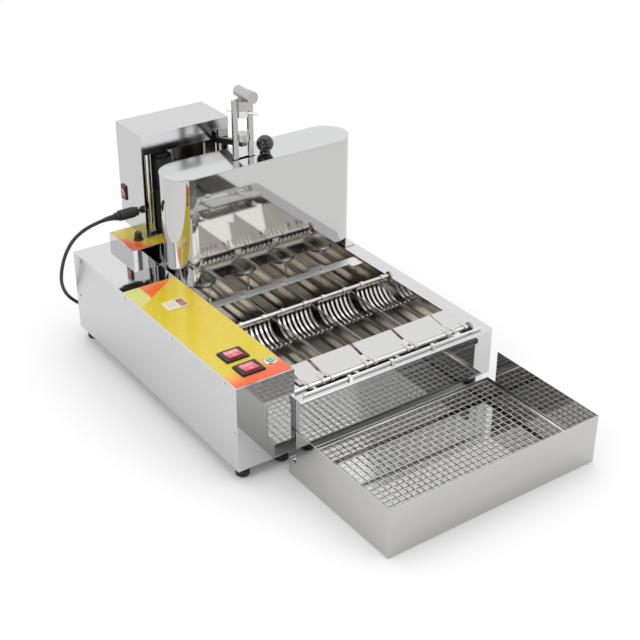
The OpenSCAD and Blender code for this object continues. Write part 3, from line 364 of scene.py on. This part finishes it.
CAP_GREEN, CAP_MARK = (0.03, 0.4, 0.16), (0.5, 0.75, 0.58)
# The second rocker red is a painted sheen: the paler red put on each rocker's raised half where it catches the
# light.
ROCKER_RED, ROCKER_SHEEN, ROCKER_MARK = (0.72, 0.025, 0.07), (0.76, 0.16, 0.23), (0.9, 0.78, 0.78)
YELLOW, PALE_YELLOW, PALE_GREEN = (0.69, 0.52, 0.012), (0.7, 0.6, 0.04), (0.66, 0.66, 0.2)
ORANGE, RED = (0.86, 0.3, 0.04), (0.84, 0.1, 0.022)
WEDGE_ORANGE, WEDGE_RED = (0.85, 0.28, 0.06), (0.85, 0.13, 0.03)
SIGN_ORANGE = (0.8, 0.25, 0.03)


def centred(look, x_mm, y_mm):
    """Distances in millimetres east and north of a point of the machine, and round it."""
    ex = look.axis("X") * 1000.0 - (x_mm + CORNER[0])
    ey = look.axis("Y") * 1000.0 - (y_mm + CORNER[1])
    return ex, ey, (ex * ex + ey * ey).sqrt()


def any_of(masks):
    """The union of masks: their highest value."""
    union = masks[0]
    for mask in masks[1:]:
        union = union.most(mask)
    return union


def rocker_red(name, centres):
    """Clear red rockers, each with a painted sheen, a paler red, on its raised half where that half catches the
    light, with two marks: a ring, |d - 3.2| < 0.6, before its centre, and a bar, |ex| < 3.4 and |ey| < 0.7, behind
    it."""
    look = Look(name, (0.75, 0.06, 0.1), 0.16, Coat_Weight=1.0, Coat_Roughness=0.04, Coat_IOR=1.8)
    raised, marks = [], []
    for x, y in centres:
        _, ey, _ = centred(look, x, y)
        # Mask of the raised half, which gets the painted sheen.
        raised.append((ey > RAISED_FROM) * (ey < RAISED_TO))
        _, _, d = centred(look, x, y - MARK_OFF)
        ex, ey, _ = centred(look, x, y + MARK_OFF)
        marks += [(d - 3.2).abs() < 0.6, (ex.abs() < 3.4) * (ey.abs() < 0.7)]
    # Painted sheen: the raised halves take the paler red.
    red = look.mix(any_of(raised), ROCKER_RED, ROCKER_SHEEN)
    look.set("Base Color", look.mix(any_of(marks), red, ROCKER_MARK))
    return look.wear(0.16, 0.08, 30.0)


def button_green(x, y):
    """Green cap with a plain ring mark where |d - 5| < 0.7."""
    look = Look("green_cap", CAP_GREEN, 0.2, Coat_Weight=0.6, Coat_Roughness=0.06)
    _, _, d = centred(look, x, y)
    look.set("Base Color", look.mix((d - 5.0).abs() < 0.7, CAP_GREEN, CAP_MARK))
    return look.wear(0.2, 0.08, 30.0)


def side_of(look, degrees, x_mm, y_mm, width_mm):
    """0 to 1 over a width, past the line through a point that faces a direction: clamp(((p - p0) . n) / width)."""
    ex, ey, _ = centred(look, x_mm, y_mm)
    q = math.radians(degrees)
    return ((ex * math.cos(q) + ey * math.sin(q)) / width_mm).clamp()


def film(name):
    """A printed film and its yellow, paler in clouds: clamp(1.8 (noise - 0.4))."""
    look = Look(name, YELLOW, 0.3, Coat_Weight=0.35, Coat_Roughness=0.1)
    look.wear(0.28, 0.08, 30.0)
    cloud = ((look.noise(4.0, detail=1.0) - 0.4) * 1.8).clamp()
    return look, look.mix(cloud, YELLOW, PALE_YELLOW)


def panel_film():
    """Long film: a pale and a red-orange wedge behind a slanted line, orange to red at the front end, and a start
    sign: a ring, |d - 4.6| < 0.7, with a bar, |ex| < 0.7 and |ey - 3.4| < 2.6."""
    look, colour = film("panel_film")
    wedge = side_of(look, *WEDGES)
    pale = side_of(look, *PALE_WEDGE)
    shade = look.mix(side_of(look, *WEDGE_SHADE), WEDGE_RED, WEDGE_ORANGE)
    colour = look.mix(wedge, colour, shade)
    colour = look.mix(wedge * pale, colour, PALE_GREEN)
    colour = look.mix(side_of(look, *FRONT_ORANGE), colour, ORANGE)
    colour = look.mix(side_of(look, *FRONT_RED), colour, RED)
    ex, ey, d = centred(look, *START_SIGN)
    sign = ((d - 4.6).abs() < 0.7).most((ex.abs() < 0.7) * ((ey - 3.4).abs() < 2.6))
    look.set("Base Color", look.mix(sign, colour, SIGN_ORANGE))
    return look.material


def deck_film():
    """Short film: an orange to red corner beside the yellow field, behind a slanted line."""
    look, colour = film("deck_film")
    colour = look.mix(side_of(look, *REAR_ORANGE), colour, ORANGE)
    colour = look.mix(side_of(look, *REAR_RED), colour, RED)
    look.set("Base Color", colour)
    return look.material


def dress(material, *names):
    """Gives CAD nodes one material."""
    for name in names:
        NODE[name].data.materials.clear()
        NODE[name].data.materials.append(material)


dress(box_sheet, "control_box_shell", "control_box_base", "deck", "tank_jacket", "tank_rim", "hopper_cradle")
dress(head_sheet, "head_housing", "head_top_cover", "lever_bracket", "head_front_plate")
dress(mirror, "hopper_body", "dough_nozzles")
dress(lid_sheet, "hopper_lid")
dress(tray_sheet, "drip_tray", "tray_ledges")
dress(vat_sheet, "oil_vat", "lane_dividers")
dress(plate_sheet, "discharge_plates")
dress(clamp_sheet, "divider_clamp")
dress(comb_steel, "comb_shaft", "turning_combs")
dress(bright_steel, "discharge_shaft", "guide_rail", "head_columns", "mesh_grid", "screws",
      "start_button_ring", "adjusting_nut", "cross_pin", "plungers")
dress(turned_steel, "shaft_bearings", "yoke_posts", "cross_blocks", "yoke_roller", "crank_disc", "connecting_rod")
dress(dark_steel, "lift_lever", "speed_potentiometer")
dress(heater_tube, "heating_element")
dress(probe_brass, "oil_probe")
dress(motor_paint, "drive_motors", "head_motor")
dress(black_plastic, "panel_switch_frames", "head_switch_frame", "speed_knob", "cable_connector",
      "cable_glands", "head_gland")
dress(knob_black, "lid_knob")
dress(foot_rubber, "feet")
dress(cable_skin, "head_cable")
dress(ivory_plastic, "controller_case", "terminal_block")
dress(rocker_red("panel_rocker", PANEL_ROCKERS), "power_rocker", "heat_rocker")
dress(head_red, "head_rocker")
dress(button_green(*START_BUTTON), "start_button_cap")
dress(display_glass, "controller_display")
dress(panel_film(), "control_panel")
dress(deck_film(), "deck_panel")


# ------------------------------------------------------------------ woven mesh
WIRE_R, CRIMP, PITCH = 1.1, 0.45, 15.0
POINTS_PER_PITCH = 6
OVERHANG = 2.0  # of a wire past its last crossing
EDGE_ROOM = 6.0  # both ends together, between the outer wires and the border's outside
BORDER = 4.0


def woven_wire(first, axis, length, lift, sign):
    """A crimped wire: height = h0 + sign c cos(pi s / pitch), with s along the wire from its first crossing."""
    steps = int((length + 2 * OVERHANG) / PITCH * POINTS_PER_PITCH) + 1
    s = np.linspace(-OVERHANG, length + OVERHANG, steps)
    path = np.zeros((steps, 3))
    path[:, axis] = first[axis] + s
    path[:, 1 - axis] = first[1 - axis]
    path[:, 2] = lift + sign * CRIMP * np.cos(math.pi * s / PITCH)
    return tube_along(path, WIRE_R, sides=8)


def woven_mesh():
    """Wires both ways at one pitch, each over and under in turn, in a border of four flat bars."""
    low, high = machine_box("mesh_grid")
    count = [int((high[k] - low[k] - EDGE_ROOM) // PITCH) for k in (0, 1)]
    first = [low[k] + (high[k] - low[k] - count[k] * PITCH) / 2.0 for k in (0, 1)]
    middle = (low[2] + high[2]) / 2.0
    parts = [woven_wire((first[0] + i * PITCH, first[1]), 1, count[1] * PITCH, middle, (-1) ** i)
             for i in range(count[0] + 1)]
    parts += [woven_wire((first[0], first[1] + j * PITCH), 0, count[0] * PITCH, middle, -((-1) ** j))
              for j in range(count[1] + 1)]
    parts += [block(low, (high[0], low[1] + BORDER, high[2])),
              block((low[0], high[1] - BORDER, low[2]), high),
              block((low[0], low[1] + BORDER, low[2]), (low[0] + BORDER, high[1] - BORDER, high[2])),
              block((high[0] - BORDER, low[1] + BORDER, low[2]), (high[0], high[1] - BORDER, high[2]))]
    piece = add_piece("woven_mesh", parts, mesh_wire, "mesh")
    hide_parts("mesh_grid")


woven_mesh()


# ------------------------------------------------------------------ controller's digits and keys
# Each bar of a digit: whether it stands at the far side, how far up it starts, and whether it lies flat.
BARS = {"a": (0, 1, 1), "g": (0, 0.5, 1), "d": (0, 0, 1),
        "f": (0, 0.5, 0), "b": (1, 0.5, 0), "e": (0, 0, 0), "c": (1, 0, 0)}
DIGITS = ["bc", "abcdefg", "abcdef"]  # 1, 8 and 0
DIGIT_W, DIGIT_H, DIGIT_STEP, BAR_W, BAR_LIFT = 4.4, 8.0, 7.2, 0.9, 0.15
DIGITS_IN = (3.4, 6.0)  # first digit from the window's edges
KEY_SIZE, KEY_STEP, KEYS_IN, KEY_LIFT = (6.5, 4.6), (10.5, 7.0), (8.0, 6.0), 0.3


def digit_bars():
    """Raised bars of the digits, which read from the machine's left side, so their upright runs along +X."""
    low, high = machine_box("controller_display")
    bars = []
    for k, digit in enumerate(DIGITS):
        for name in digit:
            across, up, flat = BARS[name]
            x = low[0] + DIGITS_IN[0] + up * (DIGIT_H - BAR_W)
            y = high[1] - DIGITS_IN[1] - k * DIGIT_STEP - across * DIGIT_W - flat * DIGIT_W
            deep, wide = (BAR_W, DIGIT_W + BAR_W) if flat else (DIGIT_H / 2.0, BAR_W)
            bars.append(block((x, y, high[2]), (x + deep, y + wide, high[2] + BAR_LIFT)))
    return bars


def key_blocks():
    """Two columns of four low keys."""
    low, high = machine_box("controller_case")
    keys = []
    for column in range(2):
        for row in range(4):
            x = low[0] + KEYS_IN[0] + column * KEY_STEP[0]
            y = low[1] + KEYS_IN[1] + row * KEY_STEP[1]
            keys.append(block((x, y, high[2]), (x + KEY_SIZE[0], y + KEY_SIZE[1], high[2] + KEY_LIFT)))
    return keys


add_piece("display_digits", digit_bars(), digit_red, "base", False)
add_piece("controller_keys", key_blocks(), key_pad, "base", False)


# ------------------------------------------------------------------ head cable
ROUTE = [(76, 613, 305), (66, 613, 305), (56, 613, 305), (34, 620, 298), (16, 632, 286), (2, 644, 271),
         (-9, 657, 252), (-18, 671, 226), (-24, 684, 196), (-26, 696, 166), (-24, 708, 136), (-16, 720, 108),
         (-4, 729, 84), (10, 731, 66), (20, 724, 58), (25, 712, 57), (25, 700, 57), (25, 690, 57)]
CABLE_D = 8.0
SLEEVE_L, SLEEVE_R, SLEEVE_TAPER = 30.0, 7.0, 2.6
RIBS, RIB_DEPTH = 7, 0.3


def strain_relief(run):
    """Tapered ribbed sleeve at the start of a cable's run: r(t) = r0 - taper t + depth cos(2 pi ribs t), with t from
    0 at the housing to 1 at the sleeve's end."""
    t = np.linspace(0.0, 1.0, 85)
    walked = distance_along(run)
    centre = np.stack([np.interp(t * SLEEVE_L, walked, run[:, k]) for k in range(3)], 1)
    radius = SLEEVE_R - SLEEVE_TAPER * t + RIB_DEPTH * np.cos(2 * RIBS * math.pi * t)
    return tube_along(centre, radius, sides=28)


def head_cable():
    """Round cable on its route, with a sleeve at each end."""
    path = curve_through(ROUTE, per_span=10)
    cable = add_piece("round_cable", [tube_along(path, CABLE_D / 2.0, sides=24)], cable_skin, "base")
    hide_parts("head_cable")
    sleeves = add_piece("strain_reliefs", [strain_relief(path), strain_relief(path[::-1])], black_plastic, "base")


head_cable()


# ------------------------------------------------------------------ floor, backdrop and light
FLOOR_LOW, FLOOR_HIGH, FLOOR_Z = -9000.0, 9500.0, -0.6  # machine millimetres
FADE_FROM, FADE_OVER = 0.5, 0.7  # metres out from the machine's middle
WHITE = (1.0, 1.0, 1.0, 1.0)
DULL_SIDE = Vector((-0.45, -0.72, 0.53)).normalized()
ROOM_STRENGTH = 1.12
LAMPS_FACE = Vector((0, 0, 0.2))  # metres


def floor_material():
    """Pale floor, seen as plain white away from the machine: factor = seen clamp((distance - from) / over)."""
    look = Look("studio_floor", (0.94, 0.94, 0.94), 0.65)
    x, y = look.axis("X"), look.axis("Y")
    seen = any_of([look.seen_by(ray) for ray in ("Is Camera Ray", "Is Glossy Ray", "Is Transmission Ray")])
    factor = (((x * x + y * y).sqrt() - FADE_FROM) / FADE_OVER).clamp() * seen
    glow = look.node("ShaderNodeEmission", {}, {"Color": WHITE})
    floor = Val(look, look.shader.outputs[0])
    blend = look.node("ShaderNodeMixShader", {}, [factor, floor, glow])
    look.feed(look.tree.nodes["Material Output"].inputs["Surface"], blend)
    return look.material


def studio_floor():
    corners = [(FLOOR_LOW, FLOOR_LOW, FLOOR_Z), (FLOOR_HIGH, FLOOR_LOW, FLOOR_Z),
               (FLOOR_HIGH, FLOOR_HIGH, FLOOR_Z), (FLOOR_LOW, FLOOR_HIGH, FLOOR_Z)]
    backdrop = mesh_object("studio_floor", corners, [[0, 1, 2, 3]], False)
    backdrop.data.materials.append(floor_material())


def studio_world():
    """Pale room, plain white to the camera: shade falls from 1 to 0.3 as direction . n grows from 0.5 to 0.85."""
    world = bpy.data.worlds.new("studio_world")
    bpy.context.scene.world = world
    world.use_nodes = True
    room = Shading(world.node_tree)
    vectors = [room.coords("Generated"), DULL_SIDE]
    facing = room.node("ShaderNodeVectorMath", {"operation": "DOT_PRODUCT"}, vectors, "Value")
    stops = [(0.5, WHITE), (0.85, (0.3, 0.3, 0.3, 1.0))]
    shade = room.node("ShaderNodeValToRGB", {"stops": stops}, [facing])
    walls = room.node("ShaderNodeBackground", {}, {"Color": shade, "Strength": ROOM_STRENGTH})
    white = room.node("ShaderNodeBackground", {}, {"Color": WHITE, "Strength": 1.0})
    blend = room.node("ShaderNodeMixShader", {}, [room.seen_by("Is Camera Ray"), walls, white])
    room.feed(room.tree.nodes["World Output"].inputs["Surface"], blend)


def softbox(name, centre, size, power):
    """An area lamp that faces the machine: its centre and size in metres, its power in watts."""
    data = bpy.data.lights.new(name, "AREA")
    data.shape = "RECTANGLE"
    data.size, data.size_y = size
    data.energy = power
    lamp = show(bpy.data.objects.new(name, data))
    lamp.location = centre
    lamp.rotation_euler = (LAMPS_FACE - Vector(centre)).to_track_quat("-Z", "Y").to_euler()


studio_floor()
studio_world()
softbox("softbox_left", (-2.4, -0.6, 2.0), (1.8, 1.6), 16)
softbox("softbox_front", (0.6, -2.8, 2.0), (2.4, 1.4), 12)
softbox("softbox_top", (0.3, 0.4, 3.0), (2.6, 2.6), 14)

bpy.context.scene.view_settings.view_transform = "Standard"
